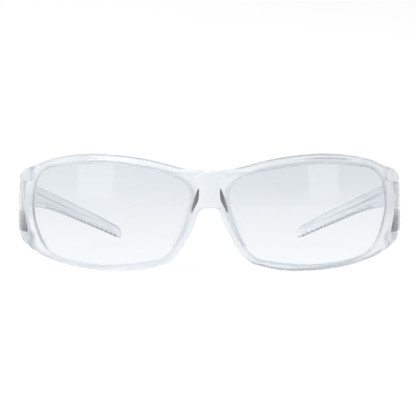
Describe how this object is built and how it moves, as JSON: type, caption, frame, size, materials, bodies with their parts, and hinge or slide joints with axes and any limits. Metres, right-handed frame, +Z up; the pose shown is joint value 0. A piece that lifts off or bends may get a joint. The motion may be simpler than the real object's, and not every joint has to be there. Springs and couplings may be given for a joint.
{
  "type": "safety glasses",
  "caption": "Wrap-around clear safety glasses with a curved front frame, separate lenses, soft nose pads and folding temples with side shields.",
  "frame": {"origin": "middle of the footprint, on the surface that the rims and the temple tips stand on", "axes": "+Z up, the front faces -Y with the temples open along +Y, and the wearer's left is at +X"},
  "size_m": [0.15, 0.1556, 0.0434],
  "materials": {
    "clear_frame": "clear polished polycarbonate with a faint blue-grey tint",
    "clear_lens": "optically clear hard-coated polycarbonate",
    "clear_temple": "clear polished polycarbonate with moulded ribs inside",
    "clear_shield": "clear polished polycarbonate",
    "soft_clear_pad": "soft clear silicone, satin",
    "hinge_pin": "clear plastic peg"
  },
  "bodies": {
    "front": {"front_frame": "clear_frame", "left_lens": "clear_lens", "right_lens": "clear_lens", "left_nose_pad": "soft_clear_pad", "right_nose_pad": "soft_clear_pad", "left_upper_hinge_pin": "hinge_pin", "right_upper_hinge_pin": "hinge_pin", "left_lower_hinge_pin": "hinge_pin", "right_lower_hinge_pin": "hinge_pin"},
    "left_temple": {"left_temple": "clear_temple", "left_side_shield": "clear_shield"},
    "right_temple": {"right_temple": "clear_temple", "right_side_shield": "clear_shield"}
  },
  "joints": [
    {"name": "left_temple_fold", "type": "hinge", "parent": "front", "child": "left_temple", "pos_m": [0.0712, -0.04724, 0.023], "axis": [0, 0, 1], "range_deg": [0, 79]},
    {"name": "right_temple_fold", "type": "hinge", "parent": "front", "child": "right_temple", "pos_m": [-0.0712, -0.04724, 0.023], "axis": [0, 0, -1], "range_deg": [0, 75]}
  ]
}
